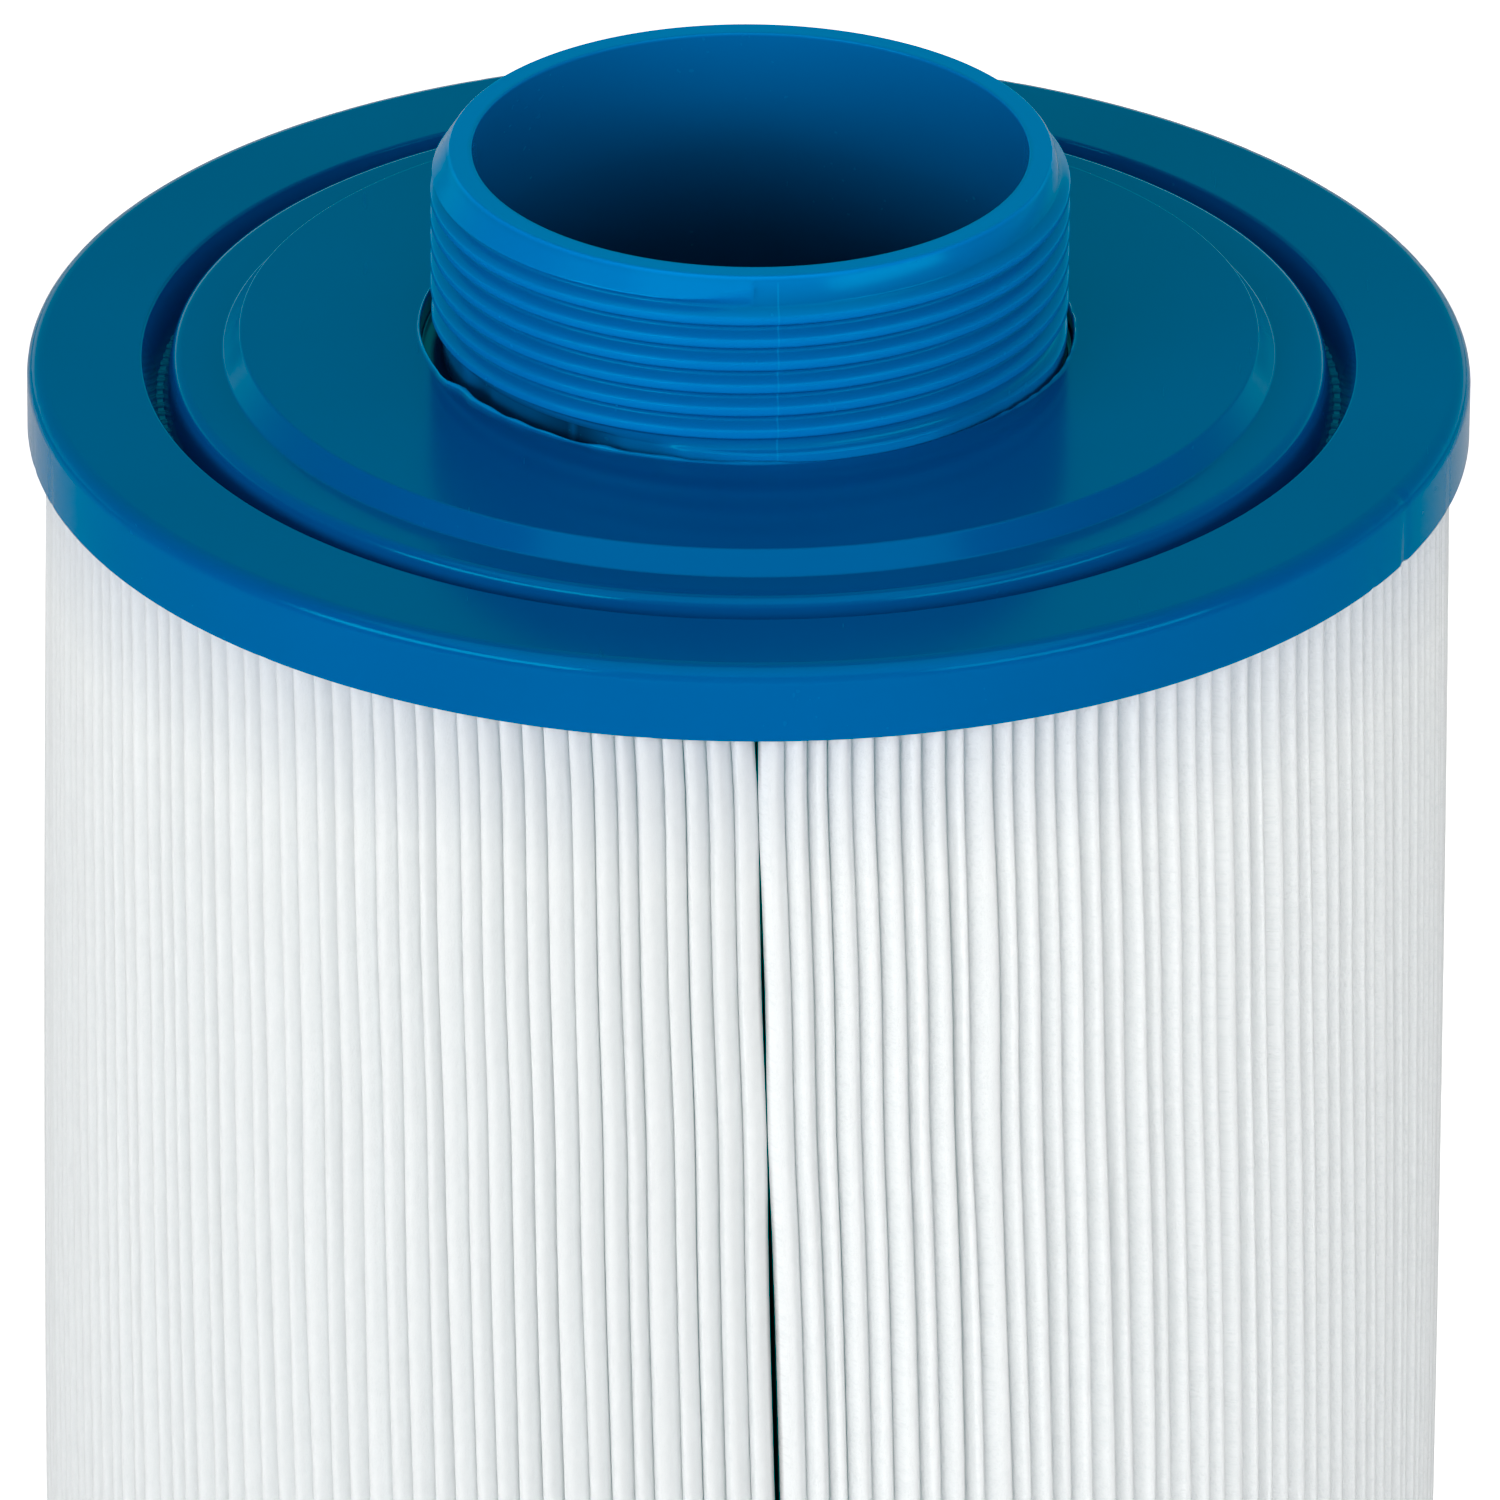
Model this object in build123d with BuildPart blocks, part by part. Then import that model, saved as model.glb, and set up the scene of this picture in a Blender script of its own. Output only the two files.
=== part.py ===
"""Threaded spa filter cartridge: two cast end caps, a threaded nozzle, a lattice core and a pleated media pack.

Millimetres, +Z up. The cartridge stands on its closed end, with the nozzle on top. The origin is on the
cartridge's axis, in the plane that the closed end rests on.
"""
import math
import os

from build123d import *

# ---------------------------------------------------------------- driving dimensions
overall_length = 255.6        # closed end's face to the nozzle's rim, the 10-1/16 in size
cap_diameter = 135.0          # both end caps, the 5-5/16 in size
rim_height = 7.4              # height of the cap's outer wall
media_diameter = 131.4        # over the pleats' outer folds

# end cap moulding, as steps on the face that points away from the media
ring_inner_radius = 56.8      # inner edge of the outer ring, where the groove's outer wall begins
groove_inner_radius = 53.2    # edge of the land, where the groove's inner wall begins
groove_floor_outer_radius = 55.4
groove_floor_inner_radius = 54.3
groove_depth = 4.0            # down to the pleats' ends
groove_edge_fillet = 1.0
land_inner_radius = 49.2      # foot of the bevel
land_step = 0.5               # land above the outer ring
disc_radius = 47.6            # head of the bevel
disc_step = 2.6               # raised disc above the outer ring
rim_fillet = 1.6
rim_lower_fillet = 0.5
crisp_fillet = 0.3            # groove's outer edge and both ends of the bevel
gap_radius = 30.8             # clear ring around the nozzle's neck
gap_depth = 2.0

# threaded nozzle, 2 in male pipe thread
nozzle_reach = 21.0           # nozzle rim above the outer ring
nozzle_bore_radius = 25.95
nozzle_rim_radius = 28.1
thread_crest_radius = 29.85
thread_root_radius = 28.75
thread_pitch = 2.309
thread_crest_width = 0.7
thread_root_width = 1.9
thread_low = 4.8              # lowest ridge's centre above the outer ring
thread_turns = 5.5
thread_azimuth = 180.0        # degrees, where the lowest ridge starts
lead_radius = 29.4            # foot of the smooth lead-in cone
lead_low = 18.3               # foot of the lead-in cone above the outer ring
neck_radius = 28.6
flange_radius = 36.0
flange_thickness = 2.4
flange_cover = 1.4            # flange's upper face below the outer ring
flange_holes = 8              # holes that the casting flows through
flange_hole_radius = 1.8
flange_hole_circle = 33.0
spigot_length = 10.0          # nozzle tube below the flange, inside the core

# lattice core
core_inner_radius = 28.7
core_outer_radius = 31.0
core_embed = 4.0              # core's end inside the closed end's casting
window_width = 14.0
window_height = 8.6
window_columns = 10
window_rows = 17
window_pitch = 12.0

# pleated media
pleat_count = 187
sheet_thickness = 0.42
pleat_inner_radius = 31.2
crest_half_width = 0.8        # outer face of a fold, at its widest
crest_flat_half_width = 0.5
crest_shoulder = 0.35
inner_slot = 0.2              # between two folds where they stand on the core
seam_azimuth = -88.5          # degrees, where the pack's two ends meet
seam_gap = 0.54               # between the pack's two ends, at their inner edges
seam_inner_radius = 36.0      # inner edge of the glued joint between them
seam_outer_radius = 54.0
seam_clearance = 0.02

# ---------------------------------------------------------------- places worked out from them
ring_z = overall_length - nozzle_reach          # outer ring of the nozzle end
media_top = ring_z - groove_depth
closed_ring_z = disc_step                       # outer ring of the closed end
media_bottom = closed_ring_z + groove_depth
cap_radius = cap_diameter / 2
media_radius = media_diameter / 2
seam = math.radians(seam_azimuth)
end_shift = seam_gap / 2 / pleat_inner_radius   # half the angle between the pack's two ends
pitch_angle = 2 * (math.pi - end_shift) / pleat_count
flange_top = ring_z - flange_cover
flange_bottom = flange_top - flange_thickness
core_bottom = closed_ring_z + core_embed
thread_foot_radius = thread_root_radius - 0.1   # ridge's foot, just inside the tube


def moulded_face(ring, outward):
    """Outline of a cap's moulded face from the disc's edge to the rim's far corner, as (r, z) points."""
    return [
        (disc_radius, ring + outward * disc_step),
        (land_inner_radius, ring + outward * land_step),
        (groove_inner_radius, ring + outward * land_step),
        (groove_floor_inner_radius, ring - outward * groove_depth),
        (groove_floor_outer_radius, ring - outward * groove_depth),
        (ring_inner_radius, ring),
        (cap_radius, ring),
        (cap_radius, ring - outward * rim_height),
    ]


def round_face(profile, ring, outward):
    """Round the moulded corners of a cap's profile."""
    corners = {
        (disc_radius, ring + outward * disc_step): crisp_fillet,
        (land_inner_radius, ring + outward * land_step): crisp_fillet,
        (groove_inner_radius, ring + outward * land_step): groove_edge_fillet,
        (ring_inner_radius, ring): crisp_fillet,
        (cap_radius, ring): rim_fillet,
        (cap_radius, ring - outward * rim_height): rim_lower_fillet,
    }
    for (r, z), radius in corners.items():
        fillet([v for v in profile.vertices() if math.hypot(v.X - r, v.Y - z) < 0.01], radius)


def place(radius, angle, offset):
    """Point at a radius, an angle and then a distance sideways along the arc."""
    turn = angle + offset / radius
    return (radius * math.cos(turn), radius * math.sin(turn))


def pleated_outline():
    """Closed outline of the folded sheet, around the axis from one end of the pack to the other."""
    outer = []
    inner = []
    fold_half_width = pitch_angle * pleat_inner_radius / 2 - inner_slot / 2
    under = crest_half_width - sheet_thickness
    for index in range(pleat_count):
        crest = seam + end_shift + (index + 0.5) * pitch_angle
        valley = crest + pitch_angle / 2
        outer.append(place(media_radius - crest_shoulder, crest, -crest_half_width))
        outer.append(place(media_radius, crest, -crest_flat_half_width))
        outer.append(place(media_radius, crest, crest_flat_half_width))
        outer.append(place(media_radius - crest_shoulder, crest, crest_half_width))
        inner.append(place(media_radius - sheet_thickness, crest, -under))
        inner.append(place(media_radius - sheet_thickness, crest, under))
        if index < pleat_count - 1:
            outer.append(place(pleat_inner_radius + sheet_thickness, valley, 0))
            inner.append(place(pleat_inner_radius, valley, -fold_half_width))
            inner.append(place(pleat_inner_radius, valley, fold_half_width))
    first = place(pleat_inner_radius, seam + end_shift, 0)
    first_inside = place(pleat_inner_radius, seam + end_shift, sheet_thickness)
    last = place(pleat_inner_radius, seam - end_shift, 0)
    last_inside = place(pleat_inner_radius, seam - end_shift, -sheet_thickness)
    return [first] + outer + [last, last_inside] + inner[::-1] + [first_inside]


# ---------------------------------------------------------------- threaded nozzle
with BuildPart() as threaded_nozzle:
    with BuildSketch(Plane.XZ) as nozzle_profile:
        with BuildLine():
            Polyline(
                (nozzle_bore_radius, flange_bottom - spigot_length),
                (neck_radius, flange_bottom - spigot_length),
                (neck_radius, flange_bottom),
                (flange_radius, flange_bottom),
                (flange_radius, flange_top),
                (neck_radius, flange_top),
                (neck_radius, ring_z + disc_step),
                (thread_root_radius, ring_z + disc_step + 0.4),
                (thread_root_radius, ring_z + lead_low - 0.7),
                (lead_radius, ring_z + lead_low),
                (nozzle_rim_radius, overall_length),
                (nozzle_bore_radius, overall_length),
                close=True,
            )
        make_face()
    revolve(axis=Axis.Z)
    with PolarLocations(flange_hole_circle, flange_holes):
        with Locations((0, 0, flange_bottom + flange_thickness / 2)):
            Cylinder(flange_hole_radius, flange_thickness * 2, mode=Mode.SUBTRACT)
    ridge_start = Plane.XY.offset(ring_z + thread_low).rotated((0, 0, thread_azimuth))
    with BuildLine(ridge_start) as thread_path:
        Helix(thread_pitch, thread_turns * thread_pitch, thread_foot_radius)
    with BuildSketch(Plane(ridge_start.origin, ridge_start.x_dir, -ridge_start.y_dir)):
        with BuildLine():
            Polyline(
                (thread_foot_radius, -thread_root_width / 2),
                (thread_crest_radius, -thread_crest_width / 2),
                (thread_crest_radius, thread_crest_width / 2),
                (thread_foot_radius, thread_root_width / 2),
                close=True,
            )
        make_face()
    sweep(path=thread_path.line, is_frenet=True)
threaded_nozzle.part.label = "threaded_nozzle"

# ---------------------------------------------------------------- lattice core
with BuildPart() as centre_core:
    core_length = flange_bottom - core_bottom
    with BuildSketch(Plane.XY.offset(core_bottom)):
        Circle(core_outer_radius)
        Circle(core_inner_radius, mode=Mode.SUBTRACT)
    extrude(amount=core_length)
    middle_z = core_bottom + core_length / 2
    for row in range(window_rows):
        row_z = middle_z + (row - (window_rows - 1) / 2) * window_pitch
        with Locations((0, 0, row_z)):
            with PolarLocations(core_outer_radius, window_columns):
                Box(core_outer_radius / 2, window_width, window_height, mode=Mode.SUBTRACT)
centre_core.part.label = "centre_core"

# ---------------------------------------------------------------- nozzle end cap
with BuildPart() as nozzle_end_cap:
    with BuildSketch(Plane.XZ) as open_profile:
        with BuildLine():
            Polyline(
                (core_outer_radius, ring_z - rim_height),
                (core_outer_radius, flange_bottom),
                (neck_radius, flange_bottom),
                (neck_radius, ring_z + disc_step - gap_depth),
                (gap_radius, ring_z + disc_step - gap_depth),
                (gap_radius, ring_z + disc_step),
                *moulded_face(ring_z, 1),
                close=True,
            )
        make_face()
        round_face(open_profile, ring_z, 1)
    revolve(axis=Axis.Z)
    add(threaded_nozzle.part, mode=Mode.SUBTRACT)
nozzle_end_cap.part.label = "nozzle_end_cap"

# ---------------------------------------------------------------- closed end cap
with BuildPart() as closed_end_cap:
    with BuildSketch(Plane.XZ) as closed_profile:
        with BuildLine():
            Polyline(
                (0, closed_ring_z + rim_height),
                (0, 0),
                *moulded_face(closed_ring_z, -1),
                close=True,
            )
        make_face()
        round_face(closed_profile, closed_ring_z, -1)
    revolve(axis=Axis.Z)
    add(centre_core.part, mode=Mode.SUBTRACT)
closed_end_cap.part.label = "closed_end_cap"

# ---------------------------------------------------------------- pleated media
with BuildPart() as pleated_media:
    with BuildSketch(Plane.XY.offset(media_bottom)):
        with BuildLine():
            Polyline(*pleated_outline(), close=True)
        make_face()
    extrude(amount=media_top - media_bottom)
pleated_media.part.label = "pleated_media"

# ---------------------------------------------------------------- glued joint between the pack's two ends
def seam_half_gap(radius):
    """Half the distance between the pack's two ends at a radius."""
    shoulder_radius = media_radius - crest_shoulder
    shoulder_gap = (end_shift + pitch_angle / 2) * shoulder_radius - crest_half_width
    share = (radius - pleat_inner_radius) / (shoulder_radius - pleat_inner_radius)
    return seam_gap / 2 + share * (shoulder_gap - seam_gap / 2) - seam_clearance


with BuildPart() as media_seam_bead:
    with BuildSketch(Plane.XY.offset(media_bottom)):
        with BuildLine():
            Polyline(
                place(seam_inner_radius, seam, -seam_half_gap(seam_inner_radius)),
                place(seam_outer_radius, seam, -seam_half_gap(seam_outer_radius)),
                place(seam_outer_radius, seam, seam_half_gap(seam_outer_radius)),
                place(seam_inner_radius, seam, seam_half_gap(seam_inner_radius)),
                close=True,
            )
        make_face()
    extrude(amount=media_top - media_bottom)
media_seam_bead.part.label = "media_seam_bead"

os.makedirs("parts", exist_ok=True)
for piece in (threaded_nozzle, centre_core, nozzle_end_cap, closed_end_cap, pleated_media, media_seam_bead):
    export_step(piece.part, f"parts/{piece.part.label}.step")
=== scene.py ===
import math

import bpy
import numpy as np
from mathutils import Matrix, Vector

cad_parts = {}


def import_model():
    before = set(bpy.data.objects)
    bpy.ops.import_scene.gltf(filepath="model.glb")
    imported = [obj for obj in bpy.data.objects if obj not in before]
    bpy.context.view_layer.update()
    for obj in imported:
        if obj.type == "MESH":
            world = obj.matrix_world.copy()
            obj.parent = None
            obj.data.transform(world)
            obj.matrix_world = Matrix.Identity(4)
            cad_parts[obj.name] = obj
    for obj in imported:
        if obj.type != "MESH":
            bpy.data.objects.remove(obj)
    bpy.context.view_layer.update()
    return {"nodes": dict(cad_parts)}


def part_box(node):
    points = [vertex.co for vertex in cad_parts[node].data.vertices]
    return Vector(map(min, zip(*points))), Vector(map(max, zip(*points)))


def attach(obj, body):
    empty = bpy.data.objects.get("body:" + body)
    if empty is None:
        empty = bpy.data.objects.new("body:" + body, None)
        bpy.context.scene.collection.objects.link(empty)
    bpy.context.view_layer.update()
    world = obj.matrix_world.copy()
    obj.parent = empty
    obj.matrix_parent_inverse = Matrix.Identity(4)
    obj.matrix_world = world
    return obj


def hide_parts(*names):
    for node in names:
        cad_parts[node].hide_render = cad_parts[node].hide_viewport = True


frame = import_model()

MM = 0.001

# ---------------------------------------------------------------- places read from the frame, in mm
CAP_LOW_Z, CAP_HIGH_Z = (corner.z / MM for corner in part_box("nozzle_end_cap"))
NOZZLE_LOW, NOZZLE_HIGH = (corner.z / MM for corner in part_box("threaded_nozzle"))
MEDIA_LOW_Z, MEDIA_HIGH_Z = (corner.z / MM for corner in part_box("pleated_media"))
MEDIA_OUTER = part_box("pleated_media")[1].x / MM

# ---------------------------------------------------------------- sizes shared by the pieces, in mm
CAP_RADIUS = 67.5
DISC_STEP = 2.6                       # raised disc above the outer ring
RING_Z = CAP_HIGH_Z - DISC_STEP       # outer ring of the nozzle end
DISC_Z = RING_Z + DISC_STEP           # raised disc of the nozzle end
CLOSED_RING_Z = DISC_STEP             # outer ring of the closed end
RIM_HEIGHT = RING_Z - CAP_LOW_Z
GROOVE_DEPTH = 4.0
NECK_RADIUS = 28.6                    # nozzle's tube inside the casting
BORE_RADIUS = 25.95
RIM_RADIUS = 28.1                     # outside of the nozzle's rim
THREAD_ROOT, THREAD_CREST = 28.75, 29.85
LEAD_SLOPE = 0.64                     # lead-in cone, radius gained per mm below the rim
GAP_RADIUS, GAP_DEPTH = 30.8, 2.0     # gap in the casting round the nozzle
FRONT = -math.pi / 2                  # azimuth that faces the camera
PARTING = FRONT + math.radians(5.3)   # azimuth of the mould's parting line


# ================================================================ mesh helpers
def new_object(name, vertices, faces, material, smooth=True):
    """Mesh object from vertices in mm."""
    mesh = bpy.data.meshes.new(name)
    mesh.from_pydata([tuple(v) for v in np.asarray(vertices) * MM], [], faces)
    mesh.validate()
    mesh.polygons.foreach_set("use_smooth", [smooth] * len(mesh.polygons))
    mesh.materials.append(material)
    mesh.update()
    obj = bpy.data.objects.new(name, mesh)
    bpy.context.scene.collection.objects.link(obj)
    return obj


def rounded(corners, steps=6, support=0.06):
    """Profile through (r, z, radius) corners. Each arc has a close support point at both ends."""
    count = len(corners)
    points = []
    for index, (r, z, radius) in enumerate(corners):
        here = np.array((r, z), float)
        before = np.array(corners[index - 1][:2], float) - here
        after = np.array(corners[(index + 1) % count][:2], float) - here
        before /= np.linalg.norm(before)
        after /= np.linalg.norm(after)
        if radius <= 0:
            points.append(here)
            continue
        half = math.acos(max(-1.0, min(1.0, before @ after))) / 2
        reach = radius / math.tan(half)
        middle = before + after
        centre = here + middle / np.linalg.norm(middle) * radius / math.sin(half)
        start = here + before * reach - centre
        end = here + after * reach - centre
        turn = math.atan2(start[0] * end[1] - start[1] * end[0], start @ end)
        points.append(centre + start + before * support)
        for step in range(steps + 1):
            angle = turn * step / steps
            cos, sin = math.cos(angle), math.sin(angle)
            points.append(centre + np.array(((cos, -sin), (sin, cos))) @ start)
        points.append(centre + end + after * support)
    return np.array(points)


def revolve(name, profile, columns, material, shape=None):
    """Closed body of revolution. shape(r, z, angle) may move the points of the grid."""
    rows = len(profile)
    angles = np.linspace(-math.pi, math.pi, columns, endpoint=False)
    r = np.repeat(profile[:, 0][:, None], columns, 1)
    z = np.repeat(profile[:, 1][:, None], columns, 1)
    turn = np.repeat(angles[None, :], rows, 0)
    if shape is not None:
        r, z = shape(r, z, turn)
    vertices = np.stack((r * np.cos(turn), r * np.sin(turn), z), -1).reshape(-1, 3)
    faces = []
    for row in range(rows):
        above = (row + 1) % rows
        for column in range(columns):
            beside = (column + 1) % columns
            faces.append((row * columns + column, row * columns + beside,
                          above * columns + beside, above * columns + column))
    return new_object(name, vertices, faces, material)


def bump_wave(angle, seed, lowest, highest):
    """Smooth random function of an angle, about -1 to 1, with a whole number of waves per turn."""
    random = np.random.default_rng(seed)
    total = np.zeros_like(angle)
    weight = 0.0
    for waves in range(lowest, highest + 1):
        size = 1.0 / math.sqrt(waves)
        total += size * np.sin(waves * angle + random.uniform(0, 2 * math.pi))
        weight += size * size / 2
    return total / math.sqrt(weight) / 2


def window(angle, centre, half_width, soft):
    """1 within half_width degrees of a centre in degrees, falling to 0 over soft degrees."""
    away = np.abs((np.degrees(angle) - centre + 180) % 360 - 180)
    return np.clip((half_width + soft - away) / soft, 0, 1)


# ================================================================ materials
class Nodes:
    """Short way to write the node tree of a material or a world."""

    def __init__(self, owner, output="ShaderNodeOutputMaterial"):
        self.owner = owner
        owner.use_nodes = True
        self.tree = owner.node_tree
        self.tree.nodes.clear()
        self.output = self.tree.nodes.new(output)

    def add(self, kind, inputs=None, **settings):
        node = self.tree.nodes.new(kind)
        for key, value in settings.items():
            setattr(node, key, value)
        for key, value in (inputs or {}).items():
            if isinstance(value, bpy.types.NodeSocket):
                self.tree.links.new(value, node.inputs[key])
            else:
                node.inputs[key].default_value = value
        return node

    def math(self, operation, first, second=0.5):
        return self.add("ShaderNodeMath", {0: first, 1: second}, operation=operation).outputs[0]

    def vector(self, operation, output, first, second=(0.0, 0.0, 0.0)):
        node = self.add("ShaderNodeVectorMath", {0: first, 1: second}, operation=operation)
        return node.outputs[output]

    def places(self):
        """Place on the object, distance from its axis and height, all in metres."""
        place = self.add("ShaderNodeTexCoord").outputs["Object"]
        flat = self.vector("MULTIPLY", "Vector", place, (1.0, 1.0, 0.0))
        away = self.vector("LENGTH", "Value", flat)
        height = self.add("ShaderNodeSeparateXYZ", {"Vector": place}).outputs["Z"]
        return place, away, height

    def noise(self, vector, scale, detail=3.0, roughness=0.5):
        inputs = {"Vector": vector, "Scale": scale, "Detail": detail, "Roughness": roughness}
        return self.add("ShaderNodeTexNoise", inputs).outputs["Fac"]

    def scaled(self, vector, x, y, z, turn=0.0):
        inputs = {"Vector": vector, "Scale": (x, y, z), "Rotation": (0.0, 0.0, turn)}
        return self.add("ShaderNodeMapping", inputs).outputs["Vector"]

    def ramp(self, value, stops):
        node = self.add("ShaderNodeValToRGB", {"Fac": value})
        while len(node.color_ramp.elements) < len(stops):
            node.color_ramp.elements.new(0.5)
        for element, (place, colour) in zip(node.color_ramp.elements, stops):
            element.position = place
            element.color = (*colour, 1.0)
        return node.outputs["Color"]

    def grey_ramp(self, value, stops):
        return self.ramp(value, [(place, (level, level, level)) for place, level in stops])

    def spread(self, value, low, high, to_low=0.0, to_high=1.0, **settings):
        inputs = {"Value": value, "From Min": low, "From Max": high,
                  "To Min": to_low, "To Max": to_high}
        return self.add("ShaderNodeMapRange", inputs, **settings).outputs["Result"]

    def band(self, length, low, high, to_low=0.0, to_high=1.0):
        """Spread of a length in metres between two in mm."""
        return self.spread(length, low * MM, high * MM, to_low, to_high)

    def mix(self, share, colour, other, blend="MIX"):
        if not isinstance(other, bpy.types.NodeSocket):
            other = (*other, 1.0)
        inputs = {0: share, 6: colour, 7: other}
        return self.add("ShaderNodeMix", inputs, data_type="RGBA", blend_type=blend).outputs[2]

    def tint(self, share, colour, factor):
        """Colour multiplied by a factor where the share is 1."""
        return self.mix(share, colour, factor, "MULTIPLY")

    def bump(self, height, distance, strength, normal=None):
        inputs = {"Height": height, "Distance": distance, "Strength": strength}
        if normal is not None:
            inputs["Normal"] = normal
        return self.add("ShaderNodeBump", inputs).outputs["Normal"]

    def finish(self, shader):
        self.tree.links.new(shader, self.output.inputs["Surface"])
        return self.owner

    def principled(self, inputs):
        return self.finish(self.add("ShaderNodeBsdfPrincipled", inputs).outputs["BSDF"])


def material_nodes(name):
    return Nodes(bpy.data.materials.new(name))


BORE_PAINTED_SHADE = ((0.0, 0.86), (0.27, 0.72), (0.56, 0.50), (0.95, 0.34))     # painted shade, by depth down the bore
VALLEY_PAINTED_SHADE = ((0.0, 1.05), (0.22, 0.90), (0.48, 0.70), (1.0, 0.24))    # painted shade by depth below the crests, with a slight painted lift on the crests
SHADED_BORE = 22.0            # depth over which the bore's painted shade runs, in mm
SHADED_VALLEY = 2.3           # depth over which the valleys' painted shade runs, in mm
PARTING_LINE = (0.02, 0.30, 0.66)
# paler thin flash: partly its own thin-plastic tone, partly a painted highlight along its edge
PALE_FLASH_AND_HIGHLIGHT = (0.02, 0.25, 0.60)


def tube_shades(n, colour, place, away, height):
    """Paints shade into the nozzle's colour down the bore and in the thread's valleys, and paints
    light onto the rim's top face.

    A thin paler line marks the mould's parting.
    """
    # painted shade: the bore's colour darkens with depth
    inside = n.band(away, BORE_RADIUS + 0.5, BORE_RADIUS + 0.1)
    depth = n.band(height, NOZZLE_HIGH, NOZZLE_HIGH - SHADED_BORE)
    colour = n.tint(inside, colour, n.grey_ramp(depth, BORE_PAINTED_SHADE))
    # painted shade in the thread's valleys and the recess under them, and a slight painted lift on the
    # crests
    cone = n.band(height, NOZZLE_HIGH, NOZZLE_HIGH - 10,
                  RIM_RADIUS * MM, (RIM_RADIUS + 10 * LEAD_SLOPE) * MM)
    below = n.math("SUBTRACT", n.math("MINIMUM", cone, THREAD_CREST * MM), away)
    outside = n.math("MULTIPLY", n.band(away, RIM_RADIUS - 0.7, RIM_RADIUS - 0.5),
                     n.band(height, NOZZLE_HIGH - 0.4, NOZZLE_HIGH - 0.8))
    colour = n.tint(outside, colour, n.grey_ramp(n.band(below, 0.0, SHADED_VALLEY), VALLEY_PAINTED_SHADE))
    # painted light: the rim's top face made paler
    rim = n.band(height, NOZZLE_HIGH - 0.35, NOZZLE_HIGH - 0.15)
    colour = n.tint(rim, colour, (1.25, 1.25, 1.25))
    across = (math.sin(PARTING), -math.cos(PARTING), 0.0)
    off = n.math("ABSOLUTE", n.vector("DOT_PRODUCT", "Value", place, across))
    line = n.math("MULTIPLY", n.band(off, 0.04, 0.13, 1.0, 0.0), outside)
    return n.mix(n.math("MULTIPLY", line, 0.35), colour, PARTING_LINE)


def cap_shades(n, colour, place, away, height):
    """Paints shade into the casting's colour in the gap round the nozzle, and pales the flash at its
    edge: thin plastic, with a painted highlight along it.
    """
    near = n.band(away, GAP_RADIUS + 1.0, GAP_RADIUS + 0.6)
    # painted shade down in the gap round the nozzle
    gap_painted_shade = n.math("MULTIPLY", n.band(height, DISC_Z - 0.15, DISC_Z - 0.7), near)
    colour = n.tint(gap_painted_shade, colour, (0.35, 0.35, 0.35))
    # paler flash at the gap's edge, partly a painted highlight
    flash_paling_and_highlight = n.math("MULTIPLY", n.band(height, DISC_Z + 0.10, DISC_Z + 0.28, 0.0, 0.85), near)
    return n.mix(flash_paling_and_highlight, colour, PALE_FLASH_AND_HIGHLIGHT)


def blue_plastic(name, low, high, shades, roughness, wave, scratch):
    """Glossy blue plastic with slow colour drift, faint ripples and fine scratches.

    The colours are linear. shades(n, colour, place, away, height) changes them by place.
    """
    n = material_nodes(name)
    place, away, height = n.places()
    drift = n.noise(place, 22.0)
    colour = shades(n, n.ramp(drift, ((0.3, low), (0.7, high))), place, away, height)
    ripple = n.noise(place, 60.0, 2.0)
    grain = n.noise(place, 2600.0, 2.0, 0.6)
    swirl = n.scaled(place, 1400.0, 90.0, 1400.0, 0.6)
    lines = n.spread(n.noise(swirl, 1.0, 1.0), 0.70, 0.78)
    patches = n.spread(n.noise(place, 90.0, 2.0), 0.52, 0.68)
    marks = n.math("MULTIPLY", lines, patches)
    rough = n.math("ADD", n.spread(drift, 0.3, 0.7, roughness * 0.85, roughness * 1.2),
                   n.math("MULTIPLY", marks, 0.25))
    normal = n.bump(ripple, 0.001, wave)
    normal = n.bump(grain, 0.00002, 0.25, normal)
    normal = n.bump(marks, 0.00002, scratch, normal)
    return n.principled({"Base Color": colour, "Roughness": rough, "Normal": normal, "IOR": 1.5,
                         "Specular Tint": (0.1, 0.75, 1.0, 1.0)})


# (turn in radians, density across, density along) of the fibres' four directions
FIBRES = ((0.35, 9.0, 0.9), (1.25, 8.0, 0.8), (2.2, 10.0, 1.0), (2.85, 8.5, 0.9))
# painted shade deep inside the folds
DEEP_FOLD_PAINTED_SHADE = (0.10, 0.10, 0.09)
# painted shade on the walls of the seam's slit
SEAM_SLIT_PAINTED_SHADE = (0.06, 0.022, 0.018)
# painted shade under the cap's rim
UNDER_CAP_PAINTED_SHADE = (0.86, 0.88, 0.915)
SOAKED_AND_SHADED_ENDS = (0.17, 0.30, 0.55)      # folds' ends, stained by the blue casting, and darkened as painted shade deep in the groove


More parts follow.
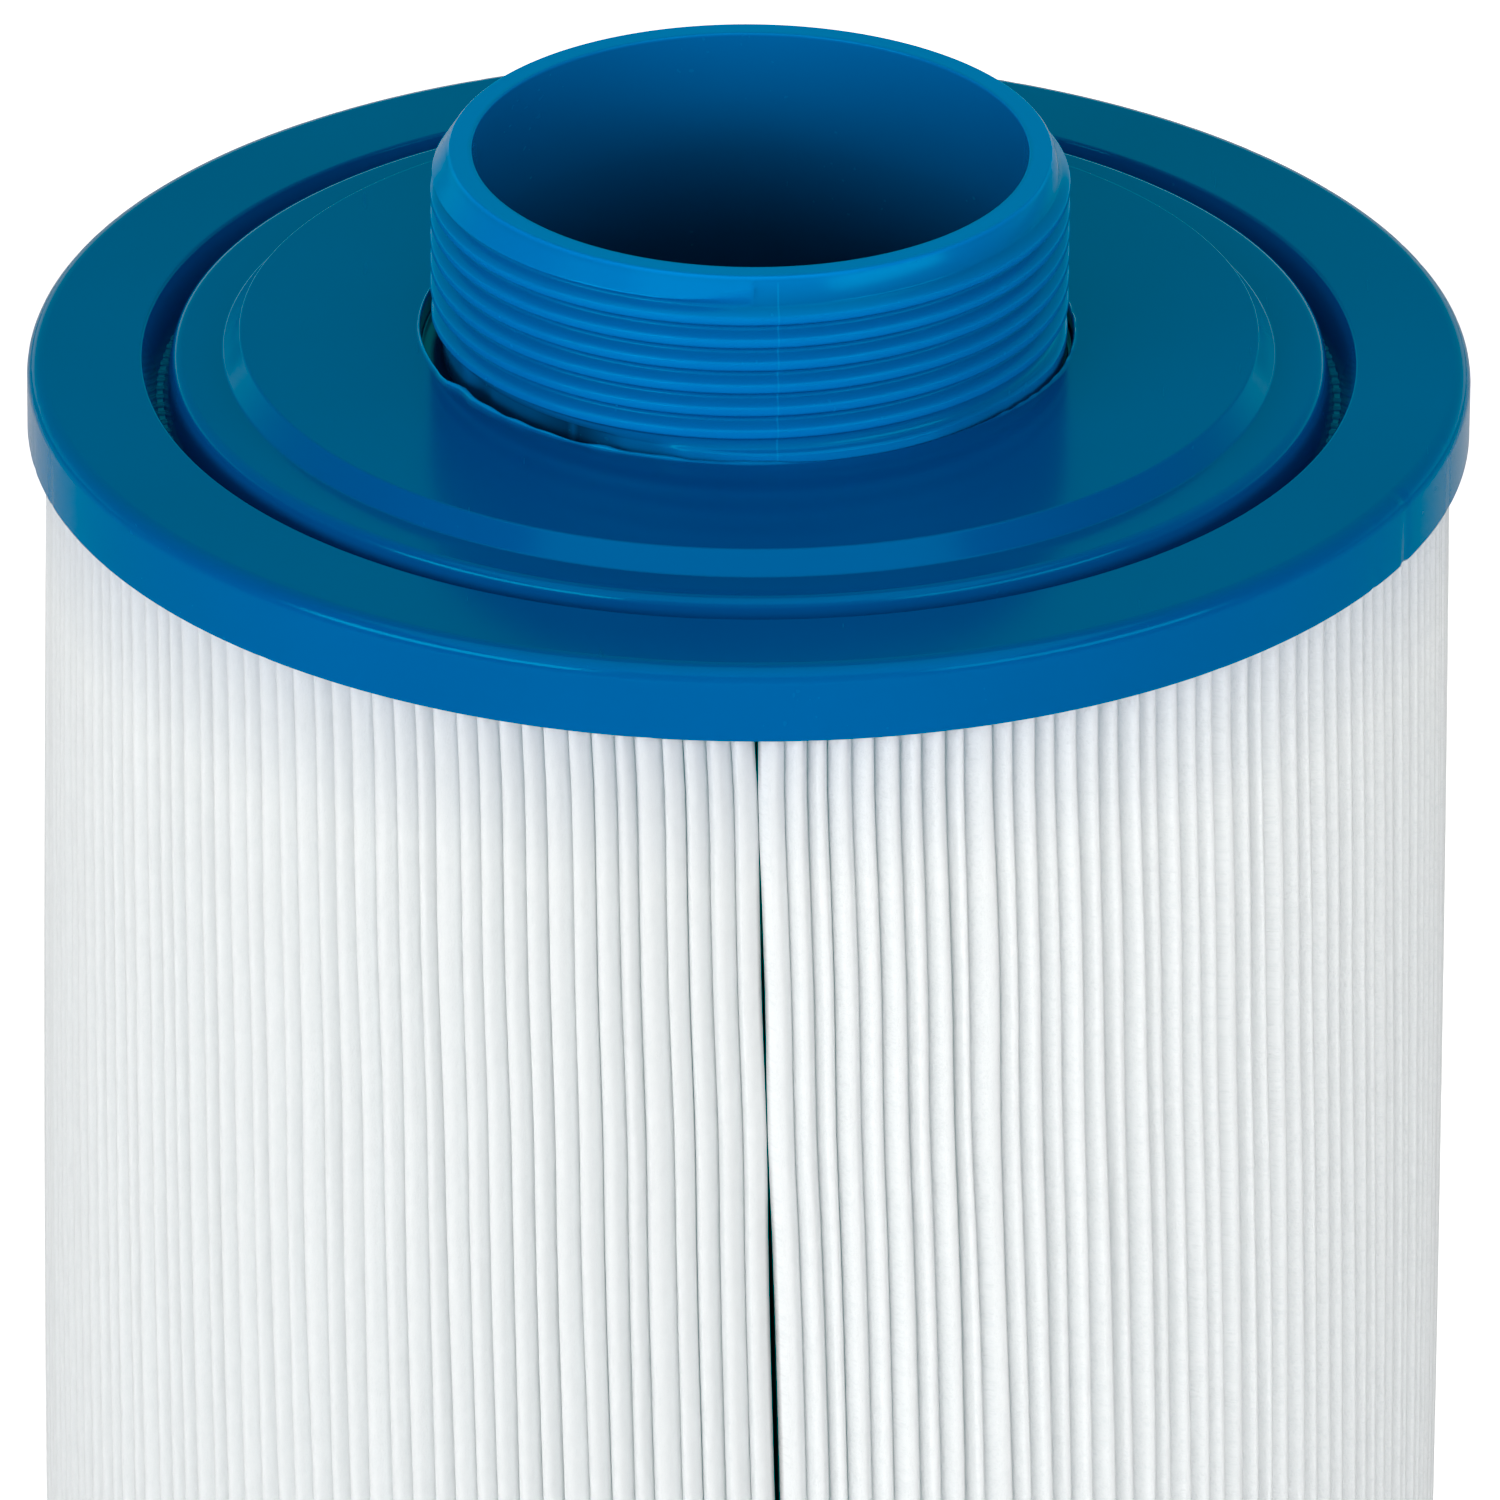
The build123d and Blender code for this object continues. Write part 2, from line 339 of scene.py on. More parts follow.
def media_material():
    """White spunbond polyester: fine fibres, clumps and a soft sheen, with painted shade deep inside
    the folds, in the seam's slit and under the cap.
    """
    n = material_nodes("spunbond_polyester")
    sheet = n.add("ShaderNodeUVMap", uv_map="sheet").outputs["UV"]
    fibres = None
    for turn, across, along in FIBRES:
        field = n.noise(n.scaled(sheet, across, along, 1.0, turn), 1.0, 2.0, 0.6)
        strand = n.spread(n.math("ABSOLUTE", n.math("SUBTRACT", field, 0.5)), 0.0, 0.06, 1.0, 0.0)
        fibres = strand if fibres is None else n.math("MAXIMUM", fibres, strand)
    clumps = n.noise(n.scaled(sheet, 1.0, 0.6, 1.0), 0.9)
    tone = n.math("ADD", n.math("MULTIPLY", fibres, 0.45), n.math("MULTIPLY", clumps, 0.55))
    colour = n.ramp(tone, ((0.15, (0.860, 0.896, 0.905)), (0.8, (0.930, 0.955, 0.960))))
    _, away, height = n.places()
    # painted shade deep inside the folds
    colour = n.tint(n.band(away, MEDIA_OUTER - 2.7, MEDIA_OUTER - 3.6), colour, DEEP_FOLD_PAINTED_SHADE)
    # painted shade on the walls of the seam's slit
    slit = n.add("ShaderNodeAttribute", attribute_name="seam_shade").outputs["Fac"]
    colour = n.tint(slit, colour, SEAM_SLIT_PAINTED_SHADE)
    # painted shade on the media under the cap's rim
    colour = n.tint(n.band(height, MEDIA_HIGH_Z - 19, MEDIA_HIGH_Z - 5), colour, UNDER_CAP_PAINTED_SHADE)
    # folds' ends: blue stain from the casting, and painted shade deep in the groove
    colour = n.mix(n.band(height, MEDIA_HIGH_Z - 0.2, MEDIA_HIGH_Z - 0.1), colour, SOAKED_AND_SHADED_ENDS)
    normal = n.bump(clumps, 0.0002, 0.35)
    normal = n.bump(fibres, 0.00006, 0.5, normal)
    return n.principled({"Base Color": colour, "Roughness": n.spread(tone, 0.2, 0.9, 0.75, 0.5),
                         "Normal": normal, "IOR": 1.45, "Sheen Weight": 0.1, "Sheen Roughness": 0.5})


def plain_plastic(name, dark, light, roughness):
    """Moulded plastic or set adhesive, with slow colour drift and a fine surface. Linear colours."""
    n = material_nodes(name)
    place = n.add("ShaderNodeTexCoord").outputs["Object"]
    colour = n.ramp(n.noise(place, 35.0), ((0.3, dark), (0.7, light)))
    rough = n.spread(n.noise(place, 60.0), 0.3, 0.7, roughness, roughness + 0.12)
    normal = n.bump(n.noise(place, 900.0), 0.00005, 0.4)
    return n.principled({"Base Color": colour, "Roughness": rough, "Normal": normal})


CAST_BLUE = blue_plastic("cast_polyurethane", (0.0, 0.088, 0.315), (0.0, 0.100, 0.345), cap_shades,
                         roughness=0.16, wave=0.010, scratch=0.3)
NOZZLE_BLUE = blue_plastic("moulded_nozzle", (0.0, 0.165, 0.49), (0.0, 0.183, 0.535), tube_shades,
                           roughness=0.20, wave=0.006, scratch=0.2)
MEDIA_WHITE = media_material()
CORE_WHITE = plain_plastic("core_plastic", (0.74, 0.75, 0.75), (0.82, 0.83, 0.83), roughness=0.4)
GLUE = plain_plastic("set_adhesive", (0.66, 0.64, 0.56), (0.75, 0.73, 0.66), roughness=0.35)

# ================================================================ end caps
DISC_RADIUS = 47.6
LAND_INNER, LAND_STEP = 49.2, 0.5
GROOVE_INNER, GROOVE_OUTER = 53.8, 56.8
GROOVE_FLOOR_INNER, GROOVE_FLOOR_OUTER = 54.75, 55.4
GROOVE_SHOW = 0.12            # the pleats' ends stand this far out of the groove's floor
CORE_RADIUS = 31.0
FLANGE_LOW_Z = RING_Z - 3.8   # nozzle's flange, cast into the cap
FLANGE_HIGH_Z = RING_Z - 1.4
FLANGE_RADIUS = 36.0
# rows of the disc's mesh beyond the gap's edge: six that carry the flash, and two that follow the lip
LIP_ROWS = (0.10, 0.16, 0.24, 0.36, 0.46, 0.56, 2.0, 4.5)
LIP_SPREAD = 6.0              # the lip's shift has faded this far out of the gap's edge


def moulded_face(ring, up):
    """(r, z, rounding) corners of a cap's moulded face, from the disc's edge to the rim's end."""
    floor = ring - up * (GROOVE_DEPTH + GROOVE_SHOW)
    return [
        (DISC_RADIUS, ring + up * DISC_STEP, 0.35),
        (LAND_INNER, ring + up * LAND_STEP, 0.3),
        (GROOVE_INNER, ring + up * LAND_STEP, 1.0),
        (GROOVE_FLOOR_INNER, floor, 0.12),
        (GROOVE_FLOOR_OUTER, floor, 0.12),
        (GROOVE_OUTER, ring, 0.35),
        (CAP_RADIUS, ring, 1.6),
        (CAP_RADIUS, ring - up * RIM_HEIGHT, 0.5),
    ]


def lip_radius(angle):
    """Inner edge of the casting round the nozzle: close to it in front, and torn back at the sides."""
    left = window(angle, 180, 22, 50)
    right = window(angle, -2, 16, 30)
    torn = bump_wave(angle, 5, 7, 26) * 0.022
    kinks = 0.15 * window(angle, -156, 1.0, 3.0) - 0.30 * window(angle, -151, 1.0, 3.0)
    return NECK_RADIUS + 0.95 + 1.15 * left + 0.75 * right + torn + kinks


def lip_shape(r, z, angle):
    """The casting's torn flash round the nozzle, and small nicks on the rim."""
    edge = lip_radius(angle)
    in_front = window(angle, -118, 30, 12)
    beside = window(angle, 180, 30, 20)
    right = window(angle, -12, 26, 8)
    flash = 0.34 * in_front * (0.95 + 0.35 * bump_wave(angle, 3, 12, 60))
    flash += 0.32 * beside + 0.16 * right * (1 + bump_wave(angle, 4, 30, 90))
    on_face = z > DISC_Z - 0.35
    inside = (r < GAP_RADIUS + 0.15) & (z > RING_Z)
    moved = (inside | (r < DISC_RADIUS - 2) & on_face) & (r > NECK_RADIUS + 1.0)
    share = np.clip((r - GAP_RADIUS) / LIP_SPREAD, 0, 1)
    r = np.where(moved, r + (edge - GAP_RADIUS) * (1 - share) ** 2, r)
    near = np.exp(-((r - edge - 0.12) / 0.11) ** 2) * on_face
    z = z + near * np.clip(flash, 0, None)
    worn = window(angle, -12, 14, 10) + 0.25
    rim = np.exp(-((r - CAP_RADIUS) / 1.2) ** 2)
    corner = np.exp(-((z - RING_Z) / 1.0) ** 2) + np.exp(-((z - RING_Z + RIM_HEIGHT) / 0.7) ** 2)
    nick = np.clip(bump_wave(angle, 7, 60, 160) - 0.55, 0, None) * worn * rim * corner
    return r - 0.35 * nick, z


def nozzle_end_cap():
    corners = [
        (CORE_RADIUS, RING_Z - RIM_HEIGHT, 0.0),
        (CORE_RADIUS, FLANGE_LOW_Z, 0.0),
        (NECK_RADIUS + 0.05, FLANGE_LOW_Z, 0.0),
        (NECK_RADIUS + 0.05, DISC_Z - GAP_DEPTH, 0.0),
        (GAP_RADIUS, DISC_Z - GAP_DEPTH, 0.2),
        (GAP_RADIUS, DISC_Z, 0.05),
        *((GAP_RADIUS + beyond, DISC_Z, 0.0) for beyond in LIP_ROWS),
        *moulded_face(RING_Z, 1),
    ]
    cap = revolve("cast_nozzle_end_cap", rounded(corners), 720, CAST_BLUE, lip_shape)
    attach(cap, "root")
    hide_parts("nozzle_end_cap")


def closed_end_cap():
    corners = [
        (0.01, CLOSED_RING_Z + RIM_HEIGHT, 0.0),
        (0.01, 0.0, 0.0),
        *moulded_face(CLOSED_RING_Z, -1),
    ]
    cap = revolve("cast_closed_end_cap", rounded(corners), 480, CAST_BLUE)
    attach(cap, "root")
    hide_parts("closed_end_cap")


# ================================================================ threaded nozzle
THREAD_PITCH = 2.309
CREST_WIDTH = 0.72
FLANK = (THREAD_CREST - THREAD_ROOT) * math.tan(math.radians(30))   # its length along the axis
FLANK_SOFT = 0.12                            # how softly a flank meets the crest and the root
THREAD_FRONT_Z = 5.65                        # lowest ridge's centre above the ring at the front
THREAD_START = FRONT - math.pi / 2 - 0.3     # azimuth where the lowest ridge starts
THREAD_TURNS = 6.3
THREAD_COLUMNS = 400                         # mesh columns per turn
THREAD_RIBBON = round(THREAD_TURNS * THREAD_COLUMNS) + 1     # mesh columns of the whole ribbon
RUN_IN, RUN_OUT = 0.07, 0.05                 # turns over which the ridge grows and fades
NOZZLE_TOP = NOZZLE_HIGH - RING_Z            # rim above the ring


def thread_amplitude(offset):
    """Ridge's height, 0 to 1, at a distance along the axis from its centre: a V with a flat crest."""
    steep = (CREST_WIDTH / 2 + FLANK - abs(offset)) / FLANK
    low = (steep + math.sqrt(steep ** 2 + FLANK_SOFT ** 2)) / 2
    return (low + 1 - math.sqrt((low - 1) ** 2 + FLANK_SOFT ** 2)) / 2


def outer_radius(z, angle, ridge):
    """Outside of the tube at a height above the ring: root, ridge, and lead-in cone with its ledge."""
    tube = THREAD_ROOT + (THREAD_CREST - THREAD_ROOT) * ridge
    ledge = window(angle, 38, 38, 0.8) * 0.55
    cone = RIM_RADIUS + LEAD_SLOPE * (NOZZLE_TOP - z) + ledge * (z < NOZZLE_TOP - 0.5)
    return np.minimum(tube, cone)


def collar_radius(angle):
    """Plain band under the thread: flush with the casting in front, set back from it elsewhere."""
    slit = 0.05 + 0.40 * window(angle, -112, 14, 10) + 0.50 * window(angle, 0, 40, 14)
    slit += 2.0 * (1 - window(angle, -40, 62, 24))
    recess = 1.2 * window(angle, -160, 34, 12)
    return np.maximum(lip_radius(angle) - slit, NECK_RADIUS - recess)


def ridge_offsets():
    """Distances along the axis from a ridge's centre of the mesh's points across it, low to high."""
    crest, foot = CREST_WIDTH / 2, CREST_WIDTH / 2 + FLANK
    steps = (0.0, crest - 0.16, crest - 0.08, crest - 0.02, crest + 0.04, crest + 0.10, crest + 0.20,
             crest + FLANK * 0.6, foot - 0.08, foot + 0.02)
    return [-THREAD_PITCH / 2] + [-step for step in steps[:0:-1]] + list(steps)


def thread_sheet():
    """Threaded outside of the tube as a ribbon that climbs with the helix, between two level rings.

    Gives the vertices in mm, the faces, the vertex numbers of the lower and the upper ring, and the
    lower ring's height above the cap's ring.
    """
    half = THREAD_PITCH / 2
    offsets = ridge_offsets()
    ridges = [thread_amplitude(offset) for offset in offsets]
    per = len(offsets)
    turn, columns = THREAD_COLUMNS, THREAD_RIBBON
    lowest = THREAD_FRONT_Z + THREAD_PITCH * (THREAD_START - FRONT) / (2 * math.pi) - half
    highest = lowest + THREAD_PITCH * (columns - 1) / turn + THREAD_PITCH
    points = []

    def add(z, column, ridge=0.0):
        angle = THREAD_START + 2 * math.pi * column / turn
        radius = float(outer_radius(z, np.array(angle), ridge))
        points.append((radius * math.cos(angle), radius * math.sin(angle), RING_Z + z))
        return len(points) - 1

    def centre(column):
        return lowest + half + THREAD_PITCH * column / turn

    ribbon = []
    for column in range(columns):
        run_in = min(1.0, column / (RUN_IN * turn)) ** 0.5
        run_out = min(1.0, (columns - 1 - column) / (RUN_OUT * turn))
        ribbon.append([add(centre(column) + offset, column, ridge * run_in * run_out)
                       for offset, ridge in zip(offsets, ridges)])
    over = [add(centre(column) + half, column) for column in range(columns - turn, columns)]
    low_ring = [ribbon[0][0]] + [add(lowest, column) for column in range(1, turn)]
    high_ring = [add(highest, column) for column in range(columns - turn, columns - 1)] + [over[-1]]

    def point(column, index):
        """Vertex of the ribbon, whose upper edge is the lower edge of the next turn's."""
        if index < per:
            return ribbon[column][index]
        if column + turn < columns:
            return ribbon[column + turn][0]
        return over[column - (columns - turn)]

    faces = []
    for column in range(columns - 1):
        for index in range(per):
            faces.append((point(column, index), point(column + 1, index),
                          point(column + 1, index + 1), point(column, index + 1)))
    faces.append((low_ring[0], low_ring[1], ribbon[1][0]))
    for column in range(1, turn - 1):
        faces.append((low_ring[column], low_ring[column + 1],
                      ribbon[column + 1][0], ribbon[column][0]))
    faces.append((low_ring[turn - 1], *ribbon[0], ribbon[turn][0], ribbon[turn - 1][0]))
    faces.append((over[0], high_ring[0], high_ring[turn - 1], *ribbon[columns - 1][::-1]))
    for index in range(turn - 2):
        faces.append((over[index], over[index + 1], high_ring[index + 1], high_ring[index]))
    faces.append((over[turn - 2], over[turn - 1], high_ring[turn - 2]))
    return points, faces, low_ring, high_ring, lowest


def threaded_nozzle():
    points, faces, low_ring, high_ring, lowest = thread_sheet()
    rim_edge = [(RIM_RADIUS - 0.16 + 0.20 * math.cos(turn),
                 NOZZLE_HIGH - 0.16 + 0.16 * math.sin(turn), 0.0)
                for turn in np.linspace(0.2, math.pi / 2, 5)]
    body = rounded([
        (RIM_RADIUS - 0.5, NOZZLE_HIGH, 0.0),
        (BORE_RADIUS, NOZZLE_HIGH, 0.18),
        *((BORE_RADIUS, z, 0.0) for z in np.linspace(NOZZLE_HIGH - 1.5, NOZZLE_LOW + 1.5, 12)),
        (BORE_RADIUS, NOZZLE_LOW, 0.3),
        (NECK_RADIUS, NOZZLE_LOW, 0.3),
        (NECK_RADIUS, FLANGE_LOW_Z, 0.0),
        (FLANGE_RADIUS, FLANGE_LOW_Z, 0.3),
        (FLANGE_RADIUS, FLANGE_HIGH_Z, 0.3),
        (NECK_RADIUS, FLANGE_HIGH_Z, 0.0),
    ])
    # (r, z, share) of the collar's rows, which follow collar_radius by that share
    collar = [(NECK_RADIUS, RING_Z + z, share)
              for z, share in ((DISC_STEP - GAP_DEPTH, 1.0), (lowest - 0.55, 1.0),
                               (lowest - 0.35, 0.93), (lowest - 0.22, 0.6))]
    angles = THREAD_START + 2 * math.pi * np.arange(THREAD_COLUMNS) / THREAD_COLUMNS
    swell = collar_radius(angles) - NECK_RADIUS
    rings = [[high_ring[(column - THREAD_RIBBON) % THREAD_COLUMNS]
              for column in range(THREAD_COLUMNS)]]
    for r, z, share in rim_edge + [(*corner, 0.0) for corner in body] + collar:
        rings.append(range(len(points), len(points) + THREAD_COLUMNS))
        points += [(radius * math.cos(angle), radius * math.sin(angle), z)
                   for radius, angle in zip(r + share * swell, angles)]
    rings.append(low_ring)
    for lower, upper in zip(rings, rings[1:]):
        for column in range(THREAD_COLUMNS):
            beside = (column + 1) % THREAD_COLUMNS
            faces.append((lower[column], lower[beside], upper[beside], upper[column]))
    nozzle = new_object("moulded_threaded_nozzle", points, faces, NOZZLE_BLUE)
    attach(nozzle, "root")
    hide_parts("threaded_nozzle")


# ================================================================ pleated media
PLEATS = 187
SHEET = 0.42                       # thickness
BULGE = 0.9                        # how far the pack swells half way between the caps
MEDIA_INNER = 31.25
SEAM = math.radians(-90 + 0.7)     # azimuth of the seam at the nozzle end
LEAN = 5.0e-4                      # radians that the pleats lean per mm downwards
CLOSE_WALLS = 3.9                  # depth in a pleat from which its two walls lie together
# (mm below the cap, width in mm) of the open seam
SEAM_GAPS = ((0, 0.36), (3, 0.22), (6, 0.03), (12, 0.03), (16, 0.15), (27, 0.3), (34, 0.2),
             (39, 0.04), (45, 0.10), (52, 0.35), (62, 0.5), (78, 0.5), (95, 0.28), (115, 0.05),
             (140, 0.3), (175, 0.1), (224, 0.3))
DARK_GAP = 0.3                     # width from which the seam's walls get their full painted shade
# (share of the half width, depth in a round fold, depth in a narrow fold), from tip to side
FOLD = ((0.0, 0.0, 0.0), (0.16, 0.03, 0.06), (0.30, 0.12, 0.26), (0.43, 0.29, 0.56),
        (0.56, 0.56, 0.86), (0.76, 1.02, 1.25), (1.0, 1.55, 1.65))
OUTSIDE = 2 * len(FOLD) + 1        # points of the sheet's outer face in one pleat
INSIDE = 6                         # points of its inner face
PER_PLEAT = OUTSIDE + INSIDE


def pleat_rows():
    """Heights of the mesh's rows, closer together near the nozzle end."""
    top = np.arange(MEDIA_HIGH_Z, MEDIA_HIGH_Z - 86, -5.0)
    rest = np.linspace(top[-1], MEDIA_LOW_Z, 10)[1:]
    return np.concatenate((top, rest))


def below_cap(z):
    return MEDIA_HIGH_Z - z - (RIM_HEIGHT - GROOVE_DEPTH)


def seam_gap(z):
    return np.interp(below_cap(z), *zip(*SEAM_GAPS))


def fold_grid(rows):
    """(row, pleat, point, radius and azimuth) of the folded sheet.

    The outer folds differ in width. They are rounder in front and behind, and narrow at the sides.
    The walls close up inwards.
    """
    random = np.random.default_rng(11)
    outer = [(-share, deep, sharp) for share, deep, sharp in FOLD[:0:-1]] + list(FOLD)
    place = random.normal(0, 0.085, PLEATS).clip(-0.2, 0.2)
    wobble = random.normal(0, 0.035, PLEATS)
    phase = random.uniform(0, 2 * math.pi, PLEATS)
    length = random.uniform(60, 150, PLEATS)
    count = np.arange(PLEATS)
    drift = np.exp(-count / 40) - np.exp((count + 1 - PLEATS) / 40)
    tip = random.normal(0, 0.11, PLEATS) + 0.34 * drift
    tip_wobble = random.normal(0, 0.10, PLEATS)
    sink = np.abs(random.normal(0, 0.09, PLEATS)).clip(0, 0.3)
    open_depth = random.uniform(0.85, 1.1, PLEATS)
    even = 2 * math.pi / PLEATS
    wall = (SHEET + 0.03) / MEDIA_OUTER
    hair = 0.1 / MEDIA_INNER
    grid = []
    for z in rows:
        gap = seam_gap(z)
        settle = np.clip(below_cap(z) / 20.0, 0.15, 1)
        swell = BULGE * math.sin(math.pi * (z - MEDIA_LOW_Z) / (MEDIA_HIGH_Z - MEDIA_LOW_Z))
        start = SEAM + LEAN * (MEDIA_HIGH_Z - z) + gap / 2 / MEDIA_OUTER
        around = 2 * math.pi - gap / MEDIA_OUTER
        shift = place + wobble * settle * np.sin(2 * math.pi * z / length + phase)
        shift[0] = 0.0
        left = start + (count + shift) * around / PLEATS
        half_width = np.diff(np.append(left, start + around)) / 2
        middle_in = start + (count + 0.5) * even
        lean = tip + tip_wobble * settle * np.sin(2 * math.pi * z / length * 0.7 + phase * 2)
        row = []
        for index, half in enumerate(half_width):
            middle = left[index] + half
            top = MEDIA_OUTER + swell - sink[index]
            under = top - SHEET - 0.12
            root = middle_in[index]
            narrow = np.clip(1.5 * abs(math.cos(middle)) - 0.55, 0, 1)
            skin = [(top - (deep + (sharp - deep) * narrow) * open_depth[index],
                     middle + (share * 0.99 + lean[index] * (1 - abs(share))) * half)
                    for share, deep, sharp in outer]
            row.append([(MEDIA_INNER + SHEET, root - even * 0.49),
                        *skin,
                        (MEDIA_INNER + SHEET, root + even * 0.49),
                        (MEDIA_INNER, root + even * 0.5 - hair),
                        (top - CLOSE_WALLS, middle + half - wall),
                        (under, middle + (lean[index] + 0.2) * half),
                        (under, middle + (lean[index] - 0.2) * half),
                        (top - CLOSE_WALLS, middle - half + wall),
                        (MEDIA_INNER, root - even * 0.5 + hair)])
        grid.append(row)
    return np.array(grid)


def fold_faces(count):
    """Faces of a grid of so many rows: walls, links between pleats, the seam's ends and both edges."""
    first_in, last_out, last_in = OUTSIDE, OUTSIDE - 1, PER_PLEAT - 1
    last = PLEATS - 1
    faces = []

    def at(row, pleat, point):
        return (row * PLEATS + pleat) * PER_PLEAT + point

    def strip(row, first, second):
        """Face between two (pleat, point) lines, from a row to the next."""
        faces.append((at(row, *first), at(row + 1, *first), at(row + 1, *second), at(row, *second)))

    for row in range(count - 1):
        for pleat in range(PLEATS):
            for point in (*range(last_out), *range(first_in, last_in)):
                strip(row, (pleat, point), (pleat, point + 1))
            if pleat < last:
                strip(row, (pleat, last_out), (pleat + 1, 0))
                strip(row, (pleat + 1, last_in), (pleat, first_in))
        strip(row, (0, last_in), (0, 0))
        strip(row, (last, last_out), (last, first_in))

    mid_out = OUTSIDE // 2
    mid_in = OUTSIDE + INSIDE // 2
    left_half = (*range(mid_out), *range(mid_in, PER_PLEAT))
    right_half = (*range(mid_out, OUTSIDE), *range(OUTSIDE, mid_in))
    crest = (mid_out - 1, mid_out, mid_in - 1, mid_in)
    for row, flip in ((0, 1), (count - 1, -1)):
        for pleat in range(PLEATS):
            for ring in (left_half, right_half, crest):
                faces.append(tuple(at(row, pleat, point) for point in ring)[::flip])
            if pleat < last:
                faces.append((at(row, pleat, last_out), at(row, pleat + 1, 0),
                              at(row, pleat + 1, last_in), at(row, pleat, first_in))[::flip])
    return faces


def pleated_media():
    """One folded sheet, from the seam round to the seam."""
    rows = pleat_rows()
    grid = fold_grid(rows)
    r, turn = grid[..., 0], grid[..., 1]
    z = np.broadcast_to(rows[:, None, None], r.shape)
    vertices = np.stack((r * np.cos(turn), r * np.sin(turn), z), -1).reshape(-1, 3)
    media = new_object("folded_polyester_media", vertices, fold_faces(len(rows)), MEDIA_WHITE)
    sheet_coordinates(media, r.ravel(), turn.ravel(), z.ravel())
    # painted shade on the seam's walls, darker where the slit is wider
    dark = (seam_gap(rows) / DARK_GAP).clip(0, 1)[:, None]
    shade = np.zeros(r.shape)
    shade[:, 0, :2] = dark * (1.0, 0.5)
    shade[:, -1, OUTSIDE - 2:OUTSIDE] = dark * (0.5, 1.0)
    attribute = media.data.attributes.new("seam_shade", "FLOAT", "POINT")
    attribute.data.foreach_set("value", shade.ravel())
    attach(media, "root")
    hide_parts("pleated_media")


def sheet_coordinates(media, r, turn, z):
    """UV map in mm on the flat sheet. V runs along the folds. U counts the turn and the depth."""
    layer = media.data.uv_layers.new(name="sheet")
    loops = np.zeros(len(media.data.loops), int)
    media.data.loops.foreach_get("vertex_index", loops)
    u = turn * MEDIA_OUTER + (MEDIA_OUTER - r) * 0.8
    layer.data.foreach_set("uv", np.stack((u[loops], z[loops]), -1).ravel())


# ================================================================ setting
def stage():
    """Pale floor, lit from within so that it stays near white round a soft contact shadow."""
    n = material_nodes("pale_floor")
    place = n.add("ShaderNodeTexCoord").outputs["Object"]
    tone = n.grey_ramp(n.noise(place, 3.0), ((0.3, 0.90), (0.7, 0.93)))
    diffuse = n.add("ShaderNodeBsdfDiffuse", {"Color": tone}).outputs["BSDF"]
    seen = n.add("ShaderNodeLightPath").outputs["Is Camera Ray"]
    strength = n.spread(seen, 0.0, 1.0, 0.05, 0.72)
    glow = n.add("ShaderNodeEmission", {"Strength": strength}).outputs["Emission"]
    material = n.finish(n.add("ShaderNodeAddShader", {0: diffuse, 1: glow}).outputs["Shader"])
    count, radius, level = 96, 30000.0, -0.2
    turns = [2 * math.pi * step / count for step in range(count)]
    ring = [(radius * math.cos(turn), radius * math.sin(turn), level) for turn in turns]
    floor = new_object("floor", ring, [tuple(range(count))], material, smooth=False)


def world():
    """White to the camera. As a light it is dim in front and brighter behind, like a lit backdrop."""
    studio = bpy.data.worlds.new("studio")
    bpy.context.scene.world = studio
    n = Nodes(studio, "ShaderNodeOutputWorld")
    direction = n.add("ShaderNodeTexCoord").outputs["Generated"]
    parts = n.add("ShaderNodeSeparateXYZ", {"Vector": direction}).outputs
    backdrop = n.spread(parts["Y"], -0.1, 0.7, 0.12, 0.54, interpolation_type="SMOOTHSTEP")
    horizon = n.spread(parts["Z"], 0.06, 0.30, 1.7, 1.0, interpolation_type="SMOOTHSTEP")
    seen = n.add("ShaderNodeLightPath").outputs["Is Camera Ray"]
    strength = n.math("MAXIMUM", n.math("MULTIPLY", backdrop, horizon), seen)
    inputs = {"Color": (1.0, 1.0, 1.0, 1.0), "Strength": strength}
    n.finish(n.add("ShaderNodeBackground", inputs).outputs["Background"])


def softbox(name, azimuth, elevation, distance, width, height, power,
            mirrored=True, lighting=True):
    """Area light in metres, degrees and watts. It faces the cartridge's top and isn't seen itself."""
    light = bpy.data.lights.new(name, "AREA")
    light.shape = "RECTANGLE"
    light.size = width
    light.size_y = height
    light.energy = power
    obj = bpy.data.objects.new(name, light)
    turn, rise = math.radians(azimuth), math.radians(elevation)
    target = Vector((0.0, 0.0, RING_Z * MM))
    level = math.cos(rise)
    way = Vector((level * math.cos(turn), level * math.sin(turn), math.sin(rise)))
    obj.location = target + way * distance
    obj.rotation_euler = (-way).to_track_quat("-Z", "Y").to_euler()
    obj.visible_camera = False
    obj.visible_glossy = mirrored
    obj.visible_diffuse = lighting
    obj.visible_transmission = lighting
    bpy.context.scene.collection.objects.link(obj)


